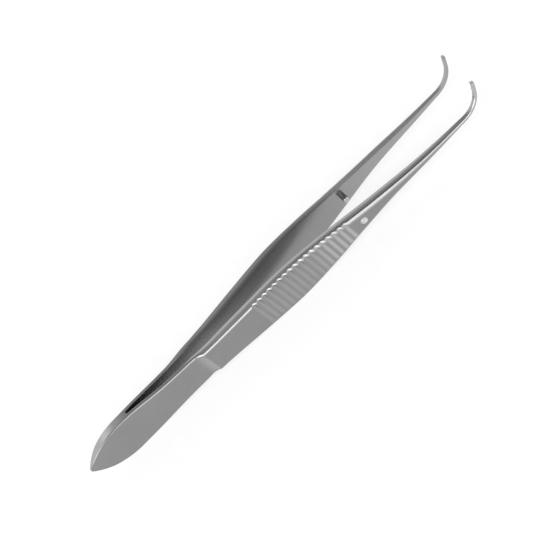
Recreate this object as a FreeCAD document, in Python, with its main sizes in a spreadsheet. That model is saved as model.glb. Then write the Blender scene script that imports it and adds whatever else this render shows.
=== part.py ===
"""Iris tissue forceps, 100 mm, with bent tips and one-into-two teeth.

Two sprung arms of forged stainless steel are welded into one flat heel.
Each arm starts as a thin leaf, steps up to a grooved grip and tapers to a
bent tip.  A guide pin in the far arm enters a hole in the near arm, and the
single tooth of the far tip drops between the two teeth of the near tip.

Every body is drawn about the straight axis of the forceps: X runs from the
heel's nose to the tips, Y is the way the arms open and Z the way the tips
bend.  The placement then lays it down on the lower edges of leaf and grip,
with the origin under the middle of the whole.
"""
import FreeCAD, Part
import os
import Sketcher
from FreeCAD import Vector

doc = FreeCAD.newDocument("IrisForceps")

# Driving dimensions, in millimetres and degrees: alias, value, meaning.
DIMENSIONS = [
    ("overall_length", 100, "nose of the heel to the front of the bent tips"),
    ("nose_wide", 0.6, "flat left at the end of the heel, across"),
    ("nose_thick", 0.5, "thickness of the heel at its end"),
    ("cheek_at", 4, "where the rounded end of the heel meets its flat faces"),
    ("cheek_thick", 1.86, "thickness there"),
    ("belly_at", 10, "widest place of the heel"),
    ("belly_wide", 8.2, "width there"),
    ("root_at", 12.7, "end of the slit that parts the two leaves"),
    ("root_thick", 2.3, "thickness there"),
    ("slit_radius", 0.35, "rounded end of the slit"),
    ("flex_at", 20, "line about which a leaf gives when squeezed"),
    ("flex_wide", 6.96, "width there"),
    ("flex_inner", 0.84, "inner face from the middle plane"),
    ("flex_thick", 0.82, "leaf thickness there"),
    ("leaf_middle_at", 24.5, "middle of the free leaf"),
    ("leaf_middle_wide", 6.5, "width there"),
    ("leaf_middle_inner", 1.0, "inner face"),
    ("leaf_middle_thick", 0.88, "thickness"),
    ("leaf_end_at", 29.8, "foot of the shoulder"),
    ("leaf_end_wide", 6.22, "width there"),
    ("leaf_end_inner", 1.2, "inner face"),
    ("leaf_end_thick", 0.95, "thickness"),
    ("shoulder_at", 30.9, "top of the shoulder, where the grip begins"),
    ("shoulder_wide", 6.04, "width there"),
    ("shoulder_inner", 1.23, "inner face"),
    ("shoulder_thick", 1.74, "thickness"),
    ("waist_at", 37, "plain part of the grip"),
    ("waist_wide", 6.46, "width there"),
    ("waist_inner", 1.4, "inner face"),
    ("waist_thick", 2.04, "thickness"),
    ("grip_at", 43, "rear of the straight grooved face"),
    ("grip_wide", 7.08, "width there"),
    ("grip_inner", 1.74, "inner face"),
    ("grip_thick", 2.08, "thickness"),
    ("grip_lean", 3.19, "slope of the grooved face, degrees"),
    ("swell_at", 51, "widest place of the grip"),
    ("swell_wide", 7.75, "width there"),
    ("swell_inner", 2.25, "inner face"),
    ("front_at", 58, "front of the swell"),
    ("front_wide", 7.05, "width there"),
    ("front_inner", 2.72, "inner face"),
    ("taper_at", 66.5, "front of the grooved face"),
    ("taper_wide", 4.9, "width there"),
    ("taper_inner", 3.12, "inner face"),
    ("neck_share", 0.237, "middle of the taper, as a share of the way from there to the bend"),
    ("neck_wide", 3.15, "width there"),
    ("neck_inner", 3.48, "inner face"),
    ("neck_thick", 2.0, "thickness"),
    ("shank_share", 0.529, "rear of the slender part behind the tips, as the same share"),
    ("shank_wide", 1.68, "width there"),
    ("shank_inner", 3.88, "inner face"),
    ("shank_thick", 1.74, "thickness"),
    ("wrist_share", 0.748, "front of the slender part, as the same share"),
    ("wrist_wide", 1.1, "width there"),
    ("wrist_inner", 4.15, "inner face"),
    ("wrist_thick", 1.42, "thickness"),
    ("tip_wide", 0.68, "width from the bend to the tip"),
    ("tip_thick", 1.0, "thickness of the tips"),
    ("bend_inner", 4.45, "inner face at the start of the bend"),
    ("tip_inner", 4.66, "inner face at the tips"),
    ("bend_angle", 64.5, "how far the tips turn up, degrees"),
    ("bend_radius", 5.45, "radius of the bend along its middle"),
    ("tip_run", 2.0, "straight end of the tip after the bend"),
    ("edge_break", 0.12, "bevel along the edges of heel and leaves"),
    ("inner_break", 0.12, "bevel along the inner edges of the arms"),
    ("grip_bevel", 0.26, "bevel beside the rear of the grooved face"),
    ("front_bevel", 0.48, "bevel from the front of the grooved face on"),
    ("shank_bevel", 0.36, "bevel at the rear of the slender part"),
    ("wrist_bevel", 0.28, "bevel at the front of the slender part"),
    ("tip_bevel", 0.17, "bevel of the tips"),
    ("groove_at", 43.88, "first groove across the grip"),
    ("groove_count", 18, "grooves on each grip"),
    ("groove_pitch", 1.283, "from groove to groove"),
    ("groove_wide", 1.05, "width of a groove at the face"),
    ("groove_deep", 0.38, "depth of a groove"),
    ("pin_at", 68.8, "guide pin and guide hole"),
    ("pin_diameter", 1.15, "guide pin"),
    ("pin_reach", 1.65, "free length of the pin"),
    ("pin_seat", 0.8, "length of the pin set into the far arm"),
    ("pin_chamfer", 0.2, "bevel round the free end of the pin"),
    ("hole_clearance", 0.15, "gap all round the pin in its hole"),
    ("tooth_high", 0.35, "height of the teeth over the inner face"),
    ("tooth_long", 0.5, "length of a tooth along the tip"),
    ("tooth_wide", 0.25, "width of a tooth at its foot"),
    ("tooth_pitch", 0.54, "between the two teeth of the near tip"),
    ("tooth_point", 0.06, "flat left at the point of a tooth"),
    ("tooth_root", 0.05, "depth to which a tooth runs into its tip"),
]
sheet = doc.addObject("Spreadsheet::Sheet", "Sizes")
for row, (alias, number, meaning) in enumerate(DIMENSIONS, start=1):
    sheet.set(f"A{row}", alias)
    sheet.set(f"B{row}", str(number))
    sheet.set(f"C{row}", meaning)
    sheet.setAlias(f"B{row}", alias)
doc.recompute()

FAR = 1
NEAR = -1
# A piece of edge below this length, or closer than this to the middle plane, runs across the heel.
SHORT = 0.05
BEND_STEPS = 3

# Places that follow from the driving dimensions, as expressions.
BEND = "(Sizes.bend_angle * 1 deg)"
BEND_START = ("(Sizes.overall_length - (Sizes.bend_radius + Sizes.tip_wide / 2) * sin({0})"
              " - Sizes.tip_run * cos({0}))").format(BEND)
CHEEK_SLOPE = ("((Sizes.root_thick - Sizes.cheek_thick) / 2"
               " / (Sizes.root_at - Sizes.cheek_at))")
NOSE_RISE = "((Sizes.cheek_thick - Sizes.nose_thick) / 2)"
NOSE_RADIUS = (f"((Sizes.cheek_at ^ 2 + {NOSE_RISE} ^ 2) * sqrt(1 + {CHEEK_SLOPE} ^ 2)"
               f" / (2 * ({NOSE_RISE} - {CHEEK_SLOPE} * Sizes.cheek_at)))")
NOSE_CENTRE = f"(Sizes.cheek_at + {NOSE_RADIUS} * {CHEEK_SLOPE} / sqrt(1 + {CHEEK_SLOPE} ^ 2))"
SLIT_CENTRE = "(Sizes.root_at + Sizes.slit_radius)"
SLIT_LEAN = (f"(atan(Sizes.flex_inner / (Sizes.flex_at - {SLIT_CENTRE})) - asin(Sizes.slit_radius"
             f" / sqrt((Sizes.flex_at - {SLIT_CENTRE}) ^ 2 + Sizes.flex_inner ^ 2)))")
GRIP_OUTER = "(Sizes.grip_inner + Sizes.grip_thick)"
LEAN = "(Sizes.grip_lean * 1 deg)"
LIE = "asin((Sizes.belly_wide - Sizes.swell_wide) / 2 / (Sizes.swell_at - Sizes.belly_at))"
LIFT = "(Sizes.belly_wide / 2 * cos({0}) + Sizes.belly_at * sin({0}))".format(LIE)
TAPER_RUN = f"({BEND_START} - Sizes.taper_at)"
PIN_SLOPE = f"((Sizes.neck_inner - Sizes.taper_inner) / (Sizes.neck_share * {TAPER_RUN}))"
PIN_INNER = f"(Sizes.taper_inner + {PIN_SLOPE} * (Sizes.pin_at - Sizes.taper_at))"
GROOVE_RADIUS = "((Sizes.groove_wide ^ 2 / 4 + Sizes.groove_deep ^ 2) / (2 * Sizes.groove_deep))"


def worth(expression):
    """Present value of an expression over the sheet."""
    value = sheet.evalExpression(str(expression))
    return getattr(value, "Value", value)


def make_body(name):
    """Body laid on the lower edges of leaf and grip, origin under its middle."""
    body = doc.addObject("PartDesign::Body", name)
    body.Label = name
    body.setExpression("Placement", (f"placement(vector(-Sizes.overall_length / 2; 0; {LIFT});"
                                     f" rotation(vector(0; 1; 0); {LIE}))"))
    return body


def make_sketch(body, name, plane, offset="vector(0; 0; 0)", axis="vector(0; 0; 1)", turn="0"):
    """Empty sketch on one of the body's origin planes, moved and turned in that plane's axes."""
    sketch = body.newObject("Sketcher::SketchObject", name)
    base = next(part for part in body.Origin.OriginFeatures if part.Role == plane)
    sketch.AttachmentSupport = [(base, "")]
    sketch.MapMode = "FlatFace"
    sketch.setExpression("AttachmentOffset", f"placement({offset}; rotation({axis}; {turn}))")
    return sketch


def fix(sketch, kind, places, expression):
    """Dimension that follows an expression."""
    index = sketch.addConstraint(Sketcher.Constraint(kind, *places, worth(expression)))
    sketch.setExpression(f"Constraints[{index}]", expression)


def fix_point(sketch, edge, end, point):
    """Hold one end of an edge at a point given as two expressions."""
    fix(sketch, "DistanceX", (-1, 1, edge, end), point[0])
    fix(sketch, "DistanceY", (-1, 1, edge, end), point[1])


def draw_loop(sketch, corners, arcs=None):
    """Closed run through corners given as pairs of expressions.

    arcs names the edges that are arcs, each with the place of its centre across the sketch.
    """
    arcs = arcs or {}
    points = [Vector(worth(across), worth(up), 0) for across, up in corners]
    edges = []
    for index, start in enumerate(points):
        stop = points[(index + 1) % len(points)]
        if index in arcs:
            across = worth(arcs[index])
            up = ((start.x - across) ** 2 - (stop.x - across) ** 2 + start.y ** 2 - stop.y ** 2) \
                / (2 * (start.y - stop.y))
            centre = Vector(across, up, 0)
            outward = (start + stop) / 2 - centre
            middle = centre + outward.normalize() * (start - centre).Length
            counter = (middle - start).cross(stop - middle).z > 0
            first, last = (start, stop) if counter else (stop, start)
            number = sketch.addGeometry(Part.Arc(first, middle, last), False)
            edges.append((number, 1, 2) if counter else (number, 2, 1))
        else:
            number = sketch.addGeometry(Part.LineSegment(start, stop), False)
            edges.append((number, 1, 2))
    for edge, following in zip(edges, edges[1:] + edges[:1]):
        sketch.addConstraint(Sketcher.Constraint("Coincident", edge[0], edge[2],
                                                 following[0], following[1]))
    for edge, corner in zip(edges, corners):
        fix_point(sketch, edge[0], edge[1], corner)
    for index, across in arcs.items():
        fix(sketch, "DistanceX", (-1, 1, edges[index][0], 3), across)


def draw_circle(sketch, centre, radius):
    """Circle with its centre and radius given as expressions."""
    middle = Vector(worth(centre[0]), worth(centre[1]), 0)
    index = sketch.addGeometry(Part.Circle(middle, Vector(0, 0, 1), worth(radius)), False)
    fix_point(sketch, index, 3, centre)
    fix(sketch, "Radius", (index,), radius)


def add_loft(body, name, sections, ruled):
    """Solid through the given sections, added to the body."""
    loft = body.newObject("PartDesign::AdditiveLoft", name)
    loft.Profile = sections[0]
    loft.Sections = sections[1:]
    loft.Ruled = ruled
    return loft


def add_through_pocket(body, name, sketch):
    """Cut a sketch right through the body, both ways."""
    pocket = body.newObject("PartDesign::Pocket", name)
    pocket.Profile = sketch
    pocket.Type = "ThroughAll"
    pocket.Midplane = True
    return pocket


def add_bevel(body, name, base, edges, size):
    """Even bevel along numbered edges of the body's last feature."""
    bevel = body.newObject("PartDesign::Chamfer", name)
    bevel.Base = (base, [f"Edge{number}" for number in sorted(edges)])
    bevel.setExpression("Size", size)
    return bevel


def arm_section(body, side, name, station, wide, inner, outer, bevel, rise="0", turn="0"):
    """Section across one arm: a rectangle with bevelled corners.

    station and rise place it along X and Z, turn leans it back about Y.  inner
    and outer are the distances of the two faces from the middle plane.
    """
    sketch = make_sketch(body, name, "YZ_Plane", f"vector(0; {rise}; {station})",
                         "vector(1; 0; 0)", f"-({turn})")
    half = f"({wide}) / 2"
    breadth = "Sizes.inner_break"
    upper = [(f"{inner} + {breadth}", half), (f"{outer} - {bevel}", half),
             (outer, f"{half} - {bevel}")]
    lower = [(across, f"-({up})") for across, up in reversed(upper)]
    heart = [(inner, f"-({half} - {breadth})"), (inner, f"{half} - {breadth}")]
    draw_loop(sketch, [(f"{side} * ({across})", up) for across, up in upper + lower + heart])
    return sketch


def named_section(body, side, place, bevel, outer=None, station=None):
    """Section at a place whose sizes in the sheet start with its name."""
    size = f"Sizes.{place}_"
    inner = size + "inner"
    station = station or size + "at"
    return arm_section(body, side, body.Name + "_" + place, station, size + "wide", inner,
                       outer or f"({inner} + {size}thick)", f"Sizes.{bevel}")


def bend_section(body, side, step, run="0"):
    """Section of the tip after some steps of the bend, and run further straight on."""
    share = step / BEND_STEPS
    angle = f"({share} * {BEND})"
    station = f"({BEND_START} + Sizes.bend_radius * sin({angle}) + {run} * cos({angle}))"
    rise = f"(Sizes.bend_radius * (1 - cos({angle})) + {run} * sin({angle}))"
    inner = f"(Sizes.bend_inner + {share} * (Sizes.tip_inner - Sizes.bend_inner))"
    suffix = "end" if run != "0" else f"bend_{step}"
    return arm_section(body, side, body.Name + "_" + suffix, station, "Sizes.tip_wide", inner,
                       f"({inner} + Sizes.tip_thick)", "Sizes.tip_bevel", rise, angle)


def add_grooves(body, side):
    """Row of round-bottomed grooves straight across the outer face of the grip."""
    sketch = make_sketch(body, body.Name + "_groove", "XY_Plane",
                         f"vector(Sizes.grip_at; {side} * {GRIP_OUTER}; 0)",
                         "vector(0; 0; 1)", f"{side} * {LEAN}")
    centre = (f"(Sizes.groove_at - Sizes.grip_at) / cos({LEAN})",
              f"{side} * ({GROOVE_RADIUS} - Sizes.groove_deep)")
    draw_circle(sketch, centre, GROOVE_RADIUS)
    first = add_through_pocket(body, body.Name + "_first_groove", sketch)
    row = body.newObject("PartDesign::LinearPattern", body.Name + "_grooves")
    row.Originals = [first]
    row.Direction = (sketch, ["H_Axis"])
    row.setExpression("Length", "(Sizes.groove_count - 1) * Sizes.groove_pitch")
    row.setExpression("Occurrences", "Sizes.groove_count")
    body.Tip = row


def add_tooth(body, side, name, across):
    """Pointed tooth on the inner face at the end of the tip, across from its middle line."""
    reach = f"({across})"
    back = "(Sizes.tip_run - Sizes.tooth_long / 2)"
    along = f"({BEND_START} + Sizes.bend_radius * sin({BEND}) + {back} * cos({BEND}))"
    up = f"(Sizes.bend_radius * (1 - cos({BEND})) + {back} * sin({BEND}))"
    levels = [("foot", "Sizes.tooth_root", "Sizes.tooth_long", "Sizes.tooth_wide", "0"),
              ("point", "-Sizes.tooth_high", "Sizes.tooth_point", "Sizes.tooth_point",
               "(Sizes.tooth_long / 4)")]
    sections = []
    for level, depth, length, width, ahead in levels:
        offset = f"vector({along}; {up}; {-side} * (Sizes.tip_inner + {depth}))"
        sketch = make_sketch(body, f"{name}_{level}", "XZ_Plane", offset, "vector(0; 0; 1)", BEND)
        draw_loop(sketch, [(f"{ahead} + {end} * {length} / 2", f"{reach} + {edge} * {width} / 2")
                              for end, edge in ((-1, -1), (1, -1), (1, 1), (-1, 1))])
        sections.append(sketch)
    add_loft(body, name, sections, True)


def make_arm(name, side):
    """One arm from the flex line to the bent tip, without its guide and teeth."""
    body = make_body(name)
    grooved = "({0} + (Sizes.{1}_at - Sizes.grip_at) * tan({2}))"
    leaf = [named_section(body, side, place, "edge_break")
            for place in ("flex", "leaf_middle", "leaf_end")]
    grip = [named_section(body, side, place, "grip_bevel")
            for place in ("shoulder", "waist", "grip")]
    grip += [named_section(body, side, place, bevel, grooved.format(GRIP_OUTER, place, LEAN))
             for place, bevel in (("swell", "grip_bevel"), ("front", "front_bevel"),
                                  ("taper", "front_bevel"))]
    grip += [named_section(body, side, place, bevel,
                           station=f"(Sizes.taper_at + Sizes.{place}_share * {TAPER_RUN})")
             for place, bevel in (("neck", "front_bevel"), ("shank", "shank_bevel"),
                                  ("wrist", "wrist_bevel"))]
    bend = [bend_section(body, side, step) for step in range(BEND_STEPS + 1)]
    add_loft(body, name + "_leaf", leaf, False)
    add_loft(body, name + "_shoulder_ramp", [leaf[-1], grip[0]], True)
    add_loft(body, name + "_grip_and_shank", grip + [bend[0]], False)
    add_loft(body, name + "_bend", bend, False)
    end = bend_section(body, side, BEND_STEPS, "Sizes.tip_run")
    add_loft(body, name + "_tip", [bend[-1], end], True)
    add_grooves(body, side)
    return body


def guide_sketch(body, side, name, sink, radius):
    """Circle square to an arm's inner face at the guide pin, sunk below that face."""
    lean = f"atan({PIN_SLOPE})"
    offset = (f"vector(Sizes.pin_at - {sink} * sin({lean}); 0;"
              f" {-side} * ({PIN_INNER} + {sink} * cos({lean})))")
    sketch = make_sketch(body, name, "XZ_Plane", offset, "vector(0; 1; 0)", f"{side} * {lean}")
    draw_circle(sketch, ("0", "0"), radius)
    return sketch


def make_near_arm():
    """Arm with the guide hole and the two teeth."""
    body = make_arm("near_arm", NEAR)
    hole = guide_sketch(body, NEAR, "guide_hole_circle", "0",
                        "Sizes.pin_diameter / 2 + Sizes.hole_clearance")
    add_through_pocket(body, "guide_hole", hole)
    for number, hand in enumerate((-1, 1), start=1):
        add_tooth(body, NEAR, f"near_tooth_{number}", f"{hand} * Sizes.tooth_pitch / 2")


def make_far_arm():
    """Arm with the seat of the guide pin and the single tooth."""
    body = make_arm("far_arm", FAR)
    seat = guide_sketch(body, FAR, "pin_seat_circle", "Sizes.pin_seat", "Sizes.pin_diameter / 2")
    pocket = body.newObject("PartDesign::Pocket", "pin_seat")
    pocket.Profile = seat
    pocket.Reversed = True
    pocket.setExpression("Length", "Sizes.pin_seat + Sizes.pin_diameter")
    add_tooth(body, FAR, "far_tooth", "0")


def make_guide_pin():
    """Round pin that stands square on the far arm's inner face, its free end bevelled."""
    body = make_body("guide_pin")
    circle = guide_sketch(body, FAR, "pin_circle", "Sizes.pin_seat", "Sizes.pin_diameter / 2")
    pin = body.newObject("PartDesign::Pad", "pin")
    pin.Profile = circle
    pin.setExpression("Length", "Sizes.pin_seat + Sizes.pin_reach")
    doc.recompute()
    free_end = min(range(len(pin.Shape.Edges)),
                   key=lambda index: pin.Shape.Edges[index].BoundBox.YMax)
    add_bevel(body, "pin_bevel", pin, {free_end + 1}, "Sizes.pin_chamfer")


def both_sides(corners):
    """Run of corners followed by its mirror image below the axis."""
    return corners + [(across, f"-({up})") for across, up in reversed(corners)]


def draw_fork(sketch):
    """Heel and leaf roots seen along Z: a wedge with a rounded nose, slit to its root."""
    draw_loop(sketch, both_sides([
        ("0", "Sizes.nose_thick / 2"),
        ("Sizes.cheek_at", "Sizes.cheek_thick / 2"),
        ("Sizes.root_at", "Sizes.root_thick / 2"),
        ("Sizes.flex_at", "Sizes.flex_inner + Sizes.flex_thick"),
        ("Sizes.flex_at", "Sizes.flex_inner"),
        (f"{SLIT_CENTRE} - Sizes.slit_radius * sin({SLIT_LEAN})",
         f"Sizes.slit_radius * cos({SLIT_LEAN})"),
    ]), {0: NOSE_CENTRE, 5: SLIT_CENTRE, 10: NOSE_CENTRE})


def draw_plan(sketch):
    """All that lies outside the leaf-shaped plan of the heel, as a frame round it.

    Two arcs a side meet at the widest place, and both have their centres level with it.
    """
    beyond = "Sizes.flex_at + Sizes.belly_wide"
    draw_loop(sketch, both_sides([
        ("0", "Sizes.nose_wide / 2"),
        ("Sizes.belly_at", "Sizes.belly_wide / 2"),
        ("Sizes.flex_at", "Sizes.flex_wide / 2"),
        (beyond, "Sizes.flex_wide / 2"),
    ]), dict.fromkeys((0, 1, 5, 6), "Sizes.belly_at"))
    draw_loop(sketch, both_sides([("-Sizes.belly_wide", "Sizes.belly_wide"),
                                  (f"{beyond} + Sizes.belly_wide", "Sizes.belly_wide")]))


def lengthwise_edges(shape):
    """Numbers of the edges that run along the heel, and of those among them in the slit."""
    edges, in_slit = set(), set()
    slit_from = worth("Sizes.root_at - 2 * Sizes.inner_break")
    slit_half = worth("Sizes.root_thick / 2 - Sizes.inner_break")
    for number, edge in enumerate(shape.Edges, start=1):
        first, last = edge.firstVertex().Point, edge.lastVertex().Point
        if edge.BoundBox.XLength < SHORT or abs(first.y * last.y) < SHORT:
            continue
        edges.add(number)
        middle = edge.valueAt((edge.FirstParameter + edge.LastParameter) / 2)
        if middle.x > slit_from and abs(middle.y) < slit_half:
            in_slit.add(number)
    return edges, in_slit


def make_heel():
    """Welded end of the two arms, with the roots of both leaves."""
    body = make_body("heel")
    fork = make_sketch(body, "fork", "XY_Plane")
    draw_fork(fork)
    blank = body.newObject("PartDesign::Pad", "blank")
    blank.Profile = fork
    blank.Midplane = True
    blank.setExpression("Length", "Sizes.belly_wide")
    plan = make_sketch(body, "plan", "XZ_Plane")
    draw_plan(plan)
    trimmed = add_through_pocket(body, "trimmed", plan)
    doc.recompute()
    slit = add_bevel(body, "slit_edges", trimmed, lengthwise_edges(trimmed.Shape)[1],
                     "Sizes.inner_break")
    doc.recompute()
    edges, in_slit = lengthwise_edges(slit.Shape)
    add_bevel(body, "outer_edges", slit, edges - in_slit, "Sizes.edge_break")


make_heel()
make_near_arm()
make_far_arm()
make_guide_pin()
doc.recompute()

faults = [part.Name for part in doc.Objects if {"Invalid", "Error"} & set(part.State)]
pieces = [part for part in doc.Objects if part.TypeId == "PartDesign::Body"]
faults += [part.Label for part in pieces if part.Shape.isNull() or not part.Shape.isValid()]
if faults:
    raise RuntimeError("not built: " + ", ".join(faults))
os.makedirs("parts", exist_ok=True)
for part in pieces:
    part.Shape.exportStep(f"parts/{part.Label}.step")
    print(part.Label, round(part.Shape.Volume, 3), "mm3")
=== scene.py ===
import bmesh
import bpy
import numpy as np
from mathutils import Matrix, Vector


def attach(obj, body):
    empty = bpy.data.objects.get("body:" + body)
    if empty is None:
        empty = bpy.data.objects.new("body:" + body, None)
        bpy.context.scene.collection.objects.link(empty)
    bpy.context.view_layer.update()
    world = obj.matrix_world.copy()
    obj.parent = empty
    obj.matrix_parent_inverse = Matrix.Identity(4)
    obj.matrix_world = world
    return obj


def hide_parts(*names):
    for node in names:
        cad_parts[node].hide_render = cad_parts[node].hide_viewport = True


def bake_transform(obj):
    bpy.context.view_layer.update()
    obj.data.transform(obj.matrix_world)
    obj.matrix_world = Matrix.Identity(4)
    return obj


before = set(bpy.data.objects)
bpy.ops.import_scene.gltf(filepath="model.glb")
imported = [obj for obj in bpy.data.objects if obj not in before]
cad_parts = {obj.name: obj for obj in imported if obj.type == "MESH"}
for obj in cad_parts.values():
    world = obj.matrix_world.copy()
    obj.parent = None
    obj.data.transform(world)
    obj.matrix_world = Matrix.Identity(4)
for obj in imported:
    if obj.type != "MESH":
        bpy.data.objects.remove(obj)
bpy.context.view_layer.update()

# Iris forceps: two forged and ground blades of satin stainless steel, welded at the heel, and
# a guide pin.  A blade is one surface from the nose of the heel to its bent tip.  Places and
# sizes are in millimetres in the blade's own frame: x from the nose to the tips, y away from
# the middle plane, z the way the tips bend.
MM = 0.001
NEAR, FAR = -1, 1

# Heel and leaves
LENGTH = 100.0
BELLY, BELLY_WIDE, NOSE_WIDE = 10.0, 8.2, 0.6
CHEEK, CHEEK_THICK, NOSE_THICK = 4.0, 1.86, 0.5
ROOT, ROOT_THICK, SLIT_RADIUS = 12.7, 2.3, 0.35
FLEX, FLEX_INNER, FLEX_OUTER = 20.0, 0.84, 1.66

# Shoulders: how far the near step starts before its foot and how steeply it ends, and how far
# the far ramp starts before the foot and ends past the top.
SHOULDER_FOOT, SHOULDER_TOP = 29.8, 30.9
STEP_LEAD, STEP_POWER = 0.7, 1.6
RAMP_LEAD, RAMP_TAIL = 6.3, 1.8

# Grip and its grooves, which are worn to a share of their depth at all edges but the near
# arm's upper one, and rise a little in the middle of the face.
SWELL, SWELL_WIDE = 51.0, 7.75
GRIP_START, FACE_START, FACE_START_OUTER, FACE_LEAN = 30.0, 43.0, 3.82, np.radians(3.19)
GROOVE, GROOVE_COUNT, GROOVE_PITCH, GROOVE_DEEP = 43.88, 18, 1.283, 0.35
GROOVE_RUN = GROOVE_PITCH * np.cos(FACE_LEAN)
GROOVE_STEPS, WORN_SHARE, GROOVE_CROWN, CRISP_LOSS = 16, 0.6, 0.1, 0.2

# Shank, bend and tips
TAPER, TAPER_INNER, NECK, NECK_INNER = 66.5, 3.12, 73.0, 3.48
TIP_WIDE, TIP_THICK, TIP_INNER = 0.68, 1.0, 4.66
TIP_END_WIDE, TIP_END_THICK = 0.6, 0.84
BEND_INNER, BEND_ANGLE, BEND_RADIUS, TIP_RUN = 4.45, np.radians(69.5), 5.1, 2.0
BEND_START = 93.9
BEND_END = BEND_START + BEND_RADIUS * BEND_ANGLE
TIP_END = BEND_END + TIP_RUN
DIP, DIP_START, DIP_END = 0.4, 74, 90
TOOTH_HIGH, TOOTH_LONG, TOOTH_WIDE, TOOTH_PITCH = 0.35, 0.5, 0.25, 0.54
TOOTH_STEEP = 1.4

# Guide pin and hole.  The pin's end is rounded: how far back from the end, and how far in.
PIN, PIN_RADIUS, PIN_REACH, PIN_SEAT = 68.8, 0.575, 1.65, 0.8
PIN_ROUND = [(0.17, 0), (0.12, 0.02), (0.04, 0.08), (0.01, 0.14), (0, 0.22)]
HOLE_RADIUS, DRILL_FROM, DRILL_TO = 0.725, -2, 4
# Points round a lathe piece, and the ring of the pin from which its end is painted lighter as a
# painted highlight.
AROUND, PAINTED_LIGHT_RING = 64, 2

# Edges.  END_ROUND rounds nose and tips, but for the last fifth.  The upper and lower sides
# roll off over ROLL_SHARE of the thickness, next to the inner face.
END_ROUND, END_SHARE = 0.16, 0.8
ROLL_OFF, ROLL_SHARE = 0.11, 0.45
MOST_CUT, CORNER_POINTS = 0.45, 5
SIDE_POINTS = (28, 16, 3, 16, 3, 16)
REAL_CORNER = np.radians(35)
BEVELS = [(0, 0.12), (9, 0.14), (16, 0.2), (SHOULDER_FOOT, 0.22), (SHOULDER_TOP, 0.24),
          (51, 0.26), (58, 0.46), (73, 0.48), (81, 0.36), (87, 0.28), (BEND_START, 0.17)]


def rest_place(x, y, z):
    """Metres in the frame's own axes for a place on the forceps, which lie on heel and grip.

    A turn about y by the lie of the two widest places, then a lift by the height of the axis.
    """
    lie = np.arcsin((BELLY_WIDE - SWELL_WIDE) / 2 / (SWELL - BELLY))
    lift = BELLY_WIDE / 2 * np.cos(lie) + BELLY * np.sin(lie)
    return np.stack([x * np.cos(lie) + z * np.sin(lie) - LENGTH / 2, y,
                     z * np.cos(lie) - x * np.sin(lie) + lift], axis=-1) * MM


def spline(pairs, first_slope=None):
    """Smooth curve through (place, value) pairs, as a function of a whole array of places.

    Cubic pieces whose slopes and bends agree where they meet.  The bend is nothing at the far
    end, and at the near end too unless a first slope is asked for.  Past either end the curve
    keeps its last value.
    """
    at, value = np.array(pairs, float).T
    step = np.diff(at)
    rise = np.diff(value) / step
    system = np.diag(np.r_[1.0, 2 * (step[1:] + step[:-1]), 1.0])
    system += np.diag(np.r_[0.0, step[1:]], 1) + np.diag(np.r_[step[:-1], 0.0], -1)
    wanted = np.r_[0.0, 6 * np.diff(rise), 0.0]
    if first_slope is not None:
        system[0, :2] = 2 * step[0], step[0]
        wanted[0] = 6 * (rise[0] - first_slope)
    bend = np.linalg.solve(system, wanted)

    def curve(x):
        x = np.clip(x, at[0], at[-1])
        piece = np.clip(np.searchsorted(at, x) - 1, 0, len(step) - 1)
        size = step[piece]
        before, after = (at[piece + 1] - x) / size, (x - at[piece]) / size
        return (before * value[piece] + after * value[piece + 1]
                + ((before ** 3 - before) * bend[piece]
                   + (after ** 3 - after) * bend[piece + 1]) * size ** 2 / 6)
    return curve


def ease(x, start, end):
    """Goes from 0 at start to 1 at end with no slope at either."""
    t = np.clip((x - start) / (end - start), 0, 1)
    return t * t * (3 - 2 * t)


def arc_height(x, centre, radius, top):
    """Height of a circle whose highest point is top at centre."""
    return top - radius + np.sqrt(np.maximum(radius ** 2 - (x - centre) ** 2, 0))


def half_width(x):
    """Half of the blade's width: an arc over the heel, then one smooth line to the tip."""
    rise = (BELLY_WIDE - NOSE_WIDE) / 2
    radius = (BELLY ** 2 + rise ** 2) / (2 * rise)
    line = spline([(BELLY, BELLY_WIDE / 2), (15, 3.945), (FLEX, 3.48), (24.5, 3.25),
                   (SHOULDER_FOOT, 3.11), (SHOULDER_TOP, 3.06), (37, 3.23), (43, 3.54),
                   (SWELL, SWELL_WIDE / 2), (58, 3.525), (TAPER, 2.45), (NECK, 1.575),
                   (81, 0.84), (87, 0.55), (BEND_START, TIP_WIDE / 2),
                   (TIP_END, TIP_END_WIDE / 2)], 0.0)
    return np.where(x < BELLY, arc_height(x, BELLY, radius, BELLY_WIDE / 2), line(x))


def inner_face(x):
    """Inner face from the middle plane: the weld, the round end of the slit, then a smooth line."""
    centre = ROOT + SLIT_RADIUS
    lean = (np.arctan(FLEX_INNER / (FLEX - centre))
            - np.arcsin(SLIT_RADIUS / np.hypot(FLEX - centre, FLEX_INNER)))
    leave = centre - SLIT_RADIUS * np.sin(lean)
    arc = np.sqrt(np.maximum(SLIT_RADIUS ** 2 - (x - centre) ** 2, 0))
    run = SLIT_RADIUS * np.cos(lean) + (x - leave) * np.tan(lean)
    line = spline([(FLEX, FLEX_INNER), (24.5, 1.0), (SHOULDER_FOOT, 1.2), (37, 1.4), (43, 1.74),
                   (SWELL, 2.25), (58, 2.72), (TAPER, TAPER_INNER), (NECK, NECK_INNER),
                   (81, 3.88), (87, 4.15), (BEND_START, BEND_INNER), (TIP_END, TIP_INNER)],
                  np.tan(lean))
    return np.where(x < leave, arc * (x > ROOT), np.where(x < FLEX, run, line(x)))


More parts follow.
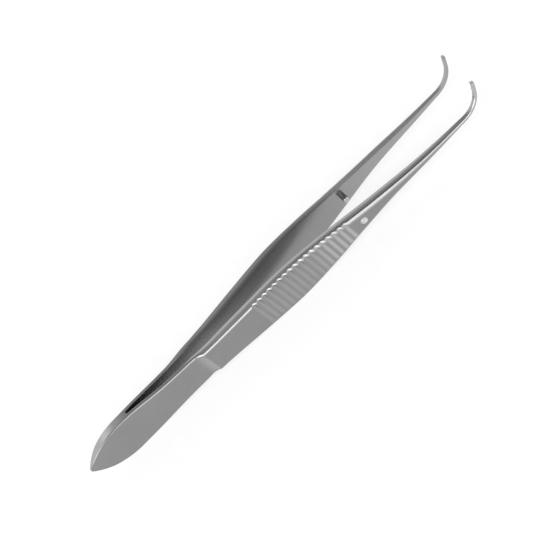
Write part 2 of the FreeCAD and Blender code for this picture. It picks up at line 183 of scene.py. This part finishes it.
def outer_face(x, side):
    """Outer face from the middle plane, without its grooves.

    A rounded nose, a smooth line over cheek and leaf, the shoulder, and a smooth line over the
    grip, straight along the grooves.  The near shoulder is a step that rises ever more steeply
    to its corner, and the far one an eased ramp.
    """
    slope = (ROOT_THICK - CHEEK_THICK) / 2 / (ROOT - CHEEK)
    rise = (CHEEK_THICK - NOSE_THICK) / 2
    radius = ((CHEEK ** 2 + rise ** 2) * np.hypot(1, slope) / (2 * (rise - slope * CHEEK)))
    centre = CHEEK + radius * slope / np.hypot(1, slope)
    top = CHEEK_THICK / 2 + radius - radius / np.hypot(1, slope)
    leaf = spline([(CHEEK, CHEEK_THICK / 2), (8, 1.03), (ROOT, ROOT_THICK / 2), (16, 1.37),
                   (FLEX, FLEX_OUTER), (24.5, 1.88), (SHOULDER_FOOT, 2.15)], slope)
    face = [(at, FACE_START_OUTER + (at - FACE_START) * np.tan(FACE_LEAN))
            for at in (FACE_START, 46, SWELL, 58, 64, TAPER)]
    grip = spline([(GRIP_START, 2.93), (33, 3.13), (37, 3.4)] + face
                  + [(NECK, 5.48), (81, 5.62), (87, 5.57), (BEND_START, BEND_INNER + TIP_THICK),
                     (TIP_END, TIP_INNER + TIP_END_THICK)])
    heel = np.where(x < CHEEK, arc_height(x, centre, radius, top), leaf(x))
    if side == NEAR:
        start = SHOULDER_FOOT - STEP_LEAD
        step = np.clip((x - start) / (SHOULDER_TOP - start), 0, 1) ** STEP_POWER
    else:
        step = ease(x, SHOULDER_FOOT - RAMP_LEAD, SHOULDER_TOP + RAMP_TAIL)
    return heel + (grip(x) - heel) * step


def groove_depth(x):
    """Depth of the row of grooves at the edge of the face.

    One wave of a cosine per groove, so that the ridges between them are worn round.
    """
    number = np.clip(np.round((x - GROOVE) / GROOVE_RUN), 0, GROOVE_COUNT - 1)
    away = np.clip(2 * (x - GROOVE - number * GROOVE_RUN) / GROOVE_RUN, -1, 1)
    return GROOVE_DEEP * (0.5 + 0.5 * np.cos(np.pi * away))


def crisp_bevel(x):
    """Breadth of the near arm's upper bevel, in straight lines between the places of BEVELS."""
    at, breadth = np.array(BEVELS).T
    return np.interp(x, at, breadth)


def worn_bevel(x):
    """Breadth of every other outer bevel, against the near arm's upper one.

    0.08 mm less on heel and leaves, 0.05 more on the grip, 0.15 more ahead of it and the same
    from the slender part on.
    """
    more = (0.05 + 0.1 * ease(x, 61, 66)) * (1 - ease(x, 74, 82))
    return crisp_bevel(x) + more - 0.13 * (1 - ease(x, 27, 31)) * ease(x, 1, 5)


def edge_round(x):
    """How far a rounded corner reaches: 0.09 mm on the heel, 0.05 on the grip, 0.22 ahead of it
    and 0.12 at the tips."""
    return 0.09 - 0.04 * ease(x, 27, 31) + 0.17 * ease(x, 52, 66) - 0.1 * ease(x, 82, BEND_START)


def along_blade():
    """Places of the sections along the blade: close at the nose, slit, grooves, bend and teeth."""
    first, last = GROOVE - 0.75 * GROOVE_RUN, GROOVE + (GROOVE_COUNT - 0.25) * GROOVE_RUN
    end = END_ROUND * (1 - np.cos(np.linspace(0, np.pi / 2, CORNER_POINTS)))
    slit = ROOT + SLIT_RADIUS * (1 - np.cos(np.linspace(0, 1.55, 12)))
    even = [(0.3, 12.6, 52), (13.2, 29.1, 50), (29.2, 31.1, 30), (31.4, first, 34),
            (first, last, GROOVE_STEPS * GROOVE_COUNT + 9), (last, BEND_START, 80),
            (BEND_START + 0.15, BEND_END, 40),
            (BEND_END + 0.03, TIP_END - END_ROUND - 0.02, 56)]
    places = [end, slit, TIP_END - end] + [np.linspace(*run) for run in even]
    return np.unique(np.round(np.concatenate(places), 5))


def rounded_section(corners, reach, shares):
    """Closed loop round the corners of every section, the first two crisp and the others soft.

    A soft corner becomes the parabola that leaves and meets its two sides a little way off; a
    side is divided at the given number of places, closer together near its ends.  Returns the
    loops, and for each place of a loop its corner's number, or a half more on the side after it.
    """
    following, before = np.roll(corners, -1, axis=1), np.roll(corners, 1, axis=1)
    ahead, behind = following - corners, before - corners
    long_ahead = np.linalg.norm(ahead, axis=2, keepdims=True)
    long_behind = np.linalg.norm(behind, axis=2, keepdims=True)
    cut = np.minimum(reach[:, None, None], MOST_CUT * np.minimum(long_ahead, long_behind))
    cut[:, :2] = 0
    leave = corners + ahead * cut / np.maximum(long_ahead, 1e-9)
    meet = corners + behind * cut / np.maximum(long_behind, 1e-9)
    loop, part = [], []
    for number, count in enumerate(shares):
        here = [place[:, number, None] for place in (meet, corners, leave)]
        t = np.linspace(0, 1, CORNER_POINTS if number > 1 else 1)[:, None]
        loop.append((1 - t) ** 2 * here[0] + 2 * t * (1 - t) * here[1] + t * t * here[2])
        share = (1 - np.cos(np.pi * np.arange(1, count) / count))[:, None] / 2
        goal = meet[:, (number + 1) % len(shares), None]
        loop.append(here[2] + (goal - here[2]) * share)
        part += [number] * len(t) + [number + 0.5] * len(share)
    return np.concatenate(loop, axis=1), np.array(part)


def section_corners(half, inner, outer, cut, x, side):
    """Six corners of every section: two at the inner face, and two at each outer bevel.

    A groove lowers the outer face and narrows the bevel: by its whole depth and little of its
    breadth at the near arm's upper edge, and by a worn share of both at every other edge.
    """
    worn = WORN_SHARE * cut
    base, lower = outer - worn, worn_bevel(x) - worn
    top, upper = base, lower
    if side == NEAR:
        top, upper = outer - cut, crisp_bevel(x) - CRISP_LOSS * cut
    return np.stack([
        np.stack([inner, -half], -1), np.stack([inner, half], -1),
        np.stack([top - upper, half], -1), np.stack([top, half - upper], -1),
        np.stack([base, lower - half], -1), np.stack([base - lower, -half], -1)], axis=1)


def ground_and_painted_light_share(x, part, share, cut):
    """Share of the lighter steel colour for every point of the sections, from 0 for satin to 1.

    It is in part how far the steel is ground and in part painted light.  Inside it falls from
    fully lighter at the heel to a quarter over the grip and rises a little ahead of it, as painted
    light against the shade between the arms.  On the outer face it follows the grooves' depth, as
    painted light against the shade in them, rises on the shoulder as a painted highlight, and
    fades to satin with the sixth power of the way to the edges.  The upper and lower sides are
    ground, and lighter most at the heel's widest place.  The bevels are lighter from the shoulder
    on and most at the tips, as a painted highlight.
    """
    # Painted light: lighter inside against the shade between the arms and in the grooves against
    # their shade, and a painted highlight on the shoulder, the bevels and the tips.
    on_step = ease(x, 28.6, 30.2) * (1 - ease(x, 30.6, 31.2))
    outside = (0.3 + 0.6 * ease(x, 56, 62)) * cut / GROOVE_DEEP + 0.4 * on_step
    inside = 1 - 0.75 * ease(x, 27, 52) + 0.2 * ease(x, 64, 78)
    edges = 0.35 + 0.65 * ease(x, 5, 7.5) * (1 - ease(x, 10, 13))
    bevels = 0.1 + 0.45 * ease(x, 28, 31) + 0.45 * ease(x, 88, BEND_START)
    return np.where(part <= 1, inside[:, None], np.where(
        part == 3.5, outside[:, None] * (1 - share ** 6),
        np.where(part % 4 == 1.5, edges[:, None], bevels[:, None])))


def blade_points(side, teeth):
    """Grid of points over one blade: sections along it, points round each section.

    A section is a rectangle with crisp inner corners and bevelled outer ones.  Its upper and
    lower sides roll off towards the inner face with the square of the way, and its floor in a
    groove rises to the middle with the square of the way.  Nose and tip are rounded in along a
    circle.  A tooth is a ridge on the inner face at the end of the tip, falling evenly from its
    crest to both sides.  The section is carried along the axis, which dips ahead of the tips,
    round the bend and up the tip.  The second grid returned is each point's share of the lighter
    steel colour: in part how far it is ground, in part painted light.
    """
    x = along_blade()
    ends = np.minimum(x, TIP_END - x)
    inset = END_ROUND - np.sqrt(np.maximum(END_ROUND ** 2 - np.maximum(END_ROUND - ends, 0) ** 2, 0))
    inset = np.minimum(inset, END_SHARE * END_ROUND)
    half, outer = half_width(x) - inset, outer_face(x, side) - inset
    inner = inner_face(x) + inset * (x > SWELL)
    cut = groove_depth(x)
    corners = section_corners(half, inner, outer, cut, x, side)
    loop, part = rounded_section(corners, edge_round(x), SIDE_POINTS)
    depth, width = loop[..., 0], loop[..., 1]
    share = width / half[:, None]
    depth = depth + GROOVE_CROWN * cut[:, None] * (1 - share ** 2) * (part == 3.5)
    reach = np.clip(1 - (depth - inner[:, None]) / (ROLL_SHARE * (outer - inner)[:, None]), 0, 1)
    fade = ease(x, 80, BEND_START) if side == NEAR else ease(x, 55, 72)
    roll = ROLL_OFF * ease(x, 26, 33) * (1 - fade)
    width = width - share * roll[:, None] * reach ** 2

    crest = TIP_END - TOOTH_LONG * 3 / 8
    along = 1 - np.abs(x - crest) / (TOOTH_LONG / 2)
    for place in teeth:
        across = 1 - np.abs(width - place) / (TOOTH_WIDE / 2)
        ridge = np.clip(np.minimum(across, along[:, None] * TOOTH_STEEP), 0, 1)
        depth = depth - TOOTH_HIGH * ridge * (part <= 1)

    turn = np.clip((x - BEND_START) / BEND_RADIUS, 0, BEND_ANGLE)[:, None]
    run = np.clip(x - BEND_END, 0, None)[:, None]
    axis_x = np.minimum(x, BEND_START)[:, None] + BEND_RADIUS * np.sin(turn) + run * np.cos(turn)
    axis_z = BEND_RADIUS * (1 - np.cos(turn)) + run * np.sin(turn)
    axis_z = axis_z - DIP * ease(x, DIP_START, DIP_END)[:, None]
    place = rest_place(axis_x - width * np.sin(turn), side * depth, axis_z + width * np.cos(turn))
    return place, ground_and_painted_light_share(x, part, share, cut)


def mesh_piece(name, rings, turned=False, ground_and_painted_light=None):
    """Object whose mesh joins neighbouring rings of points with faces and closes both ends.

    Rings that run clockwise, seen the way they follow each other, need their faces turned.
    """
    count, around = rings.shape[:2]
    ring, place = np.meshgrid(np.arange(count - 1), np.arange(around), indexing="ij")
    following = (place + 1) % around
    faces = np.stack([ring * around + place, ring * around + following,
                      (ring + 1) * around + following, (ring + 1) * around + place], -1)
    ends = np.stack([np.arange(around)[::-1], (count - 1) * around + np.arange(around)])
    if turned:
        faces, ends = faces[..., ::-1], ends[:, ::-1]
    mesh = bpy.data.meshes.new(name)
    mesh.from_pydata(rings.reshape(-1, 3), [], faces.reshape(-1, 4).tolist() + ends.tolist())
    # The attribute carries each point's share of the lighter steel colour: ground steel in part,
    # painted light in part.
    if ground_and_painted_light is not None:
        mesh.attributes.new("ground_and_painted_light", "FLOAT", "POINT").data.foreach_set("value", ground_and_painted_light.ravel())
    piece = bpy.data.objects.new(name, mesh)
    bpy.context.scene.collection.objects.link(piece)
    return piece


def finish_mesh(piece):
    """Apply the piece's modifiers, merge doubled points and keep only real corners sharp."""
    depsgraph = bpy.context.evaluated_depsgraph_get()
    mesh = bpy.data.meshes.new_from_object(piece.evaluated_get(depsgraph))
    piece.modifiers.clear()
    piece.data = mesh
    work = bmesh.new()
    work.from_mesh(mesh)
    bmesh.ops.remove_doubles(work, verts=work.verts, dist=1e-6)
    bmesh.ops.recalc_face_normals(work, faces=work.faces)
    work.to_mesh(mesh)
    work.free()
    mesh.shade_smooth()
    mesh.set_sharp_from_angle(angle=REAL_CORNER)


def lathe_points(profile, foot, direction):
    """Rings of points: the profile of (along, radius) pairs carried round an axis in the x-y
    plane."""
    along, radius = np.array(profile, float).T
    angle = np.linspace(0, 2 * np.pi, AROUND, endpoint=False)
    sideways = np.array([-direction[1], direction[0]])
    flat = (np.array(foot) + along[:, None, None] * np.array(direction)
            + (radius[:, None] * np.cos(angle))[..., None] * sideways)
    return rest_place(flat[..., 0], flat[..., 1], radius[:, None] * np.sin(angle))


# Materials
def linear(hex_colour):
    """sRGB hex value as a linear colour with alpha."""
    parts = [int(hex_colour[i:i + 2], 16) / 255 for i in (1, 3, 5)]
    return [c / 12.92 if c <= 0.04045 else ((c + 0.055) / 1.055) ** 2.4 for c in parts] + [1.0]


def add_node(tree, kind, settings=None, links=None):
    """A node with its settings, and links from its inputs, by name or number, to outputs."""
    node = tree.nodes.new(kind)
    for name, value in (settings or {}).items():
        if name in node.inputs:
            node.inputs[name].default_value = value
        else:
            setattr(node, name, value)
    for name, output in (links or {}).items():
        tree.links.new(output, node.inputs[name])
    return node


def new_material(name):
    """Empty node material and its tree."""
    material = bpy.data.materials.new(name)
    material.use_nodes = True
    material.node_tree.nodes.clear()
    return material, material.node_tree


def satin_stainless_steel():
    """Forged stainless steel, brushed to a satin outside and left as ground inside.

    Fine lines run along the blades and faint clouds lie over them.  The points' own attribute
    mixes in a lighter steel colour: in part for surfaces left ground, in part as painted light
    against the shade in the grooves and between the arms, and as a painted highlight on bevels,
    shoulder and tips.
    """
    material, tree = new_material("satin_stainless_steel")
    place = add_node(tree, "ShaderNodeTexCoord").outputs["Object"]
    # Brush lines about 0.3 mm apart and 12 mm long: real ones are finer than this, and these
    # are as coarse as they need to be to show.
    lines = add_node(tree, "ShaderNodeMapping", {"Scale": (1 / 0.012, 1 / 0.0003, 1 / 0.0003)},
                     {"Vector": place})
    brush = add_node(tree, "ShaderNodeTexNoise", {"Scale": 1.0, "Detail": 3.0, "Roughness": 0.6},
                     {"Vector": lines.outputs[0]})
    # Clouds about 6 mm across.
    cloud = add_node(tree, "ShaderNodeTexNoise", {"Scale": 1 / 0.006, "Detail": 3.0},
                     {"Vector": place})
    both = add_node(tree, "ShaderNodeMix", {"data_type": "FLOAT", "Factor": 0.5},
                    {"A": brush.outputs["Fac"], "B": cloud.outputs["Fac"]})
    rough = add_node(tree, "ShaderNodeMapRange",
                     {"From Min": 0.3, "From Max": 0.7, "To Min": 0.19, "To Max": 0.29},
                     {"Value": both.outputs[0]})
    # The attribute's share of the lighter colour is ground steel in part and painted light in part.
    ground_and_painted_light = add_node(tree, "ShaderNodeAttribute", {"attribute_name": "ground_and_painted_light"})
    satin, light = [
        add_node(tree, "ShaderNodeMix",
                 {"data_type": "RGBA", "A": linear(darkest), "B": linear(lightest)},
                 {"Factor": both.outputs[0]}).outputs["Result"]
        for darkest, lightest in (("#888888", "#9A9A9A"), ("#B4B4B4", "#C4C4C4"))]
    colour = add_node(tree, "ShaderNodeMix", {"data_type": "RGBA"},
                      {"Factor": ground_and_painted_light.outputs["Fac"], "A": satin, "B": light})
    bump = add_node(tree, "ShaderNodeBump", {"Strength": 0.1, "Distance": 0.00001},
                    {"Height": brush.outputs["Fac"]})
    shader = add_node(tree, "ShaderNodeBsdfPrincipled", {"Metallic": 1.0},
                      {"Base Color": colour.outputs["Result"], "Roughness": rough.outputs[0],
                       "Normal": bump.outputs[0]})
    add_node(tree, "ShaderNodeOutputMaterial", None, {"Surface": shader.outputs[0]})
    return material


def turned_steel(name, shade, smoothest, roughest):
    """Steel as a reamer or a lathe has left it, with rings round it 0.1 mm apart, in the shade given,
    which each use sets as painted light or shade.
    """
    material, tree = new_material(name)
    place = add_node(tree, "ShaderNodeTexCoord").outputs["Object"]
    rings = add_node(tree, "ShaderNodeMapping", {"Scale": (1 / 0.002, 1 / 0.0001, 1 / 0.002)},
                     {"Vector": place})
    marks = add_node(tree, "ShaderNodeTexNoise", {"Scale": 1.0, "Detail": 2.0},
                     {"Vector": rings.outputs[0]})
    rough = add_node(tree, "ShaderNodeMapRange", {"To Min": smoothest, "To Max": roughest},
                     {"Value": marks.outputs["Fac"]})
    shader = add_node(tree, "ShaderNodeBsdfPrincipled",
                      {"Metallic": 1.0, "Base Color": linear(shade)},
                      {"Roughness": rough.outputs[0]})
    add_node(tree, "ShaderNodeOutputMaterial", None, {"Surface": shader.outputs[0]})
    return material


def white_paper():
    """Matt white sheet with a faint grain, lit from below too, as on a light table.

    Its white shows to the eye and in the steel, while the forceps' own shadow stays on it.
    """
    material, tree = new_material("white_paper")
    place = add_node(tree, "ShaderNodeTexCoord").outputs["Object"]
    grain = add_node(tree, "ShaderNodeTexNoise", {"Scale": 1 / 0.003, "Detail": 2.0},
                     {"Vector": place})
    tone = add_node(tree, "ShaderNodeMix",
                    {"data_type": "RGBA", "A": linear("#F6F6F6"), "B": linear("#FAFAFA")},
                    {"Factor": grain.outputs["Fac"]})
    matt = add_node(tree, "ShaderNodeBsdfDiffuse", None, {"Color": tone.outputs["Result"]})
    glow = add_node(tree, "ShaderNodeEmission", {"Strength": GLOW}, {"Color": tone.outputs["Result"]})
    ray = add_node(tree, "ShaderNodeLightPath")
    shown = ray.outputs["Is Camera Ray"]
    for kind in ("Is Glossy Ray", "Is Transmission Ray"):
        shown = add_node(tree, "ShaderNodeMath", {"operation": "ADD", "use_clamp": True},
                         {0: shown, 1: ray.outputs[kind]}).outputs[0]
    share = add_node(tree, "ShaderNodeMath", {"operation": "MULTIPLY"}, {0: shown})
    share.inputs[1].default_value = GLOW_SHARE
    sheet = add_node(tree, "ShaderNodeMixShader", None,
                     {"Fac": share.outputs[0], 1: matt.outputs[0], 2: glow.outputs[0]})
    add_node(tree, "ShaderNodeOutputMaterial", None, {"Surface": sheet.outputs[0]})
    return material


steel = satin_stainless_steel()
# The hole's wall is painted near white, a painted reflection, so the hole shows white.
reamed_wall_painted_white = turned_steel("reamed_steel_painted_white", "#FAFAFA", 0.3, 0.36)
# The pin's shank is painted dark, a painted shade, and its end lighter, a painted highlight.
pin_shank_painted_dark = turned_steel("steel_painted_dark_shank", "#7A7A7A", 0.2, 0.3)
pin_end_painted_light = turned_steel("steel_painted_light_end", "#C4C4C4", 0.12, 0.2)

# Pin and hole stand square on the inner faces.
pin_lean = np.arctan((NECK_INNER - TAPER_INNER) / (NECK - TAPER))
pin_inner = TAPER_INNER + (PIN - TAPER) * np.tan(pin_lean)


def make_blade(name, side, teeth, hole):
    """One blade, with the guide hole cut square through its inner face if it has one."""
    points, ground_and_painted_light = blade_points(side, teeth)
    piece = mesh_piece(name, points, side == FAR, ground_and_painted_light)
    piece.data.materials.append(steel)
    if hole:
        outward = (-np.sin(pin_lean), side * np.cos(pin_lean))
        profile = [(DRILL_FROM, HOLE_RADIUS), (DRILL_TO, HOLE_RADIUS)]
        drill = mesh_piece("drill", lathe_points(profile, (PIN, side * pin_inner), outward))
        # The hole's wall takes the near-white steel: a painted reflection.
        drill.data.materials.append(reamed_wall_painted_white)
        bore = piece.modifiers.new("guide_hole", "BOOLEAN")
        bore.operation, bore.solver, bore.object = "DIFFERENCE", "EXACT", drill
        bore.material_mode = "TRANSFER"
    finish_mesh(piece)
    if hole:
        bpy.data.objects.remove(drill)
    return piece


def make_pin():
    """The guide pin: a shank painted dark as painted shade, and from the start of its rounding an end
    painted lighter as a painted highlight.
    """
    profile = [(-PIN_SEAT, PIN_RADIUS), (0, PIN_RADIUS)]
    profile += [(PIN_REACH - back, PIN_RADIUS - inward) for back, inward in PIN_ROUND]
    piece = mesh_piece("pin", lathe_points(profile, (PIN, pin_inner),
                                           (np.sin(pin_lean), -np.cos(pin_lean))))
    piece.data.materials.append(pin_shank_painted_dark)
    piece.data.materials.append(pin_end_painted_light)
    # End faces from the painted-light ring on take the lighter colour, a painted highlight.
    for polygon in piece.data.polygons:
        if min(polygon.vertices) >= AROUND * PAINTED_LIGHT_RING:
            polygon.material_index = 1
    finish_mesh(piece)
    return piece


near_blade = make_blade("near_blade", NEAR, (-TOOTH_PITCH / 2, TOOTH_PITCH / 2), True)
far_blade = make_blade("far_blade", FAR, (0.0,), False)
for blade, arm in ((near_blade, "near_arm"), (far_blade, "far_arm")):
    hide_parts("heel", arm)
    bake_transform(blade)

guide_pin = make_pin()
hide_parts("guide_pin")
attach(guide_pin, "far_arm")

# Floor: 1.6 m across, and how strongly and to what share its white glows.
FLOOR_WIDE, GLOW, GLOW_SHARE = 1.6, 1.2, 0.65
bpy.ops.mesh.primitive_plane_add(size=FLOOR_WIDE, location=(0, 0, 0))
floor = bpy.context.object
floor.name = "floor"
floor.data.materials.append(white_paper())

# Camera: the photograph's viewing angle and distance.  ROLL tips the forceps' own line as it is
# seen, and PICTURE_TURN lays that line across the picture.  The aim is off the middle of the
# forceps by AIM_ALONG and AIM_ACROSS that line.
AZIMUTH, ELEVATION, ROLL, PICTURE_TURN = np.radians([8.919, 43.447, -4.394, 47.6915])
DISTANCE, PIXELS_PER_MM = 320.4, 5.494
SENSOR, PICTURE = 36.0, 540
AIM_HEIGHT, AIM_ALONG, AIM_ACROSS = 4.4, 0.158, 1.895


def make_camera():
    """The camera: its axes are the forceps' line as seen and the one across it, turned together."""
    back = np.array([np.sin(AZIMUTH) * np.cos(ELEVATION), -np.cos(AZIMUTH) * np.cos(ELEVATION),
                     np.sin(ELEVATION)])
    level = np.array([np.cos(AZIMUTH), np.sin(AZIMUTH), 0.0])
    upward = np.cross(back, level)
    along = level * np.cos(ROLL) + upward * np.sin(ROLL)
    across = upward * np.cos(ROLL) - level * np.sin(ROLL)
    target = np.array([0, 0, AIM_HEIGHT]) + AIM_ALONG * along + AIM_ACROSS * across
    stand = np.eye(4)
    stand[:3, 0] = along * np.cos(PICTURE_TURN) - across * np.sin(PICTURE_TURN)
    stand[:3, 1] = along * np.sin(PICTURE_TURN) + across * np.cos(PICTURE_TURN)
    stand[:3, 2] = back
    stand[:3, 3] = (target + back * DISTANCE) * MM
    data = bpy.data.cameras.new("camera")
    data.sensor_width = SENSOR
    data.lens = PIXELS_PER_MM * DISTANCE / PICTURE * SENSOR
    data.clip_end = 10
    camera = bpy.data.objects.new("camera", data)
    bpy.context.scene.collection.objects.link(camera)
    camera.matrix_world = Matrix(stand.tolist())
    return camera


# Light
LAMP_DISTANCE, LAMP_WIDE, WALL_GLOW = 0.9, 0.7, 1.15
WALL_SHADES = [(0.58, "#FFFFFF"), (0.67, "#A0A0A0"), (0.78, "#868686")]


def soft_box(name, azimuth, elevation, power):
    """Round soft lamp that looks at the forceps from an azimuth and elevation in degrees."""
    a, e = np.radians([azimuth, elevation])
    data = bpy.data.lights.new(name, "AREA")
    data.shape, data.size, data.energy = "DISK", LAMP_WIDE, power
    lamp = bpy.data.objects.new(name, data)
    bpy.context.scene.collection.objects.link(lamp)
    lamp.location = LAMP_DISTANCE * Vector((np.sin(a) * np.cos(e), -np.cos(a) * np.cos(e),
                                            np.sin(e)))
    lamp.rotation_euler = (-lamp.location).to_track_quat("-Z", "Y").to_euler()


def studio_walls():
    """World that is white up to a little over the level and darkens towards the ceiling."""
    world = bpy.data.worlds.new("studio")
    world.use_nodes = True
    tree = world.node_tree
    tree.nodes.clear()
    place = add_node(tree, "ShaderNodeTexCoord").outputs["Generated"]
    height = add_node(tree, "ShaderNodeSeparateXYZ", None, {"Vector": place})
    walls = add_node(tree, "ShaderNodeValToRGB", None, {"Fac": height.outputs["Z"]})
    stops = walls.color_ramp.elements
    stops[0].color, stops[1].color = linear("#FFFFFF"), linear("#666666")
    for position, shade in WALL_SHADES:
        stops.new(position).color = linear(shade)
    studio = add_node(tree, "ShaderNodeBackground", {"Strength": WALL_GLOW},
                      {"Color": walls.outputs["Color"]})
    add_node(tree, "ShaderNodeOutputWorld", None, {"Surface": studio.outputs[0]})
    return world


bpy.context.scene.camera = make_camera()
soft_box("front_box", -9, 46, 2.1)
soft_box("left_box", -72, 27, 2.4)
bpy.context.scene.world = studio_walls()
bpy.context.scene.view_settings.view_transform = "Standard"
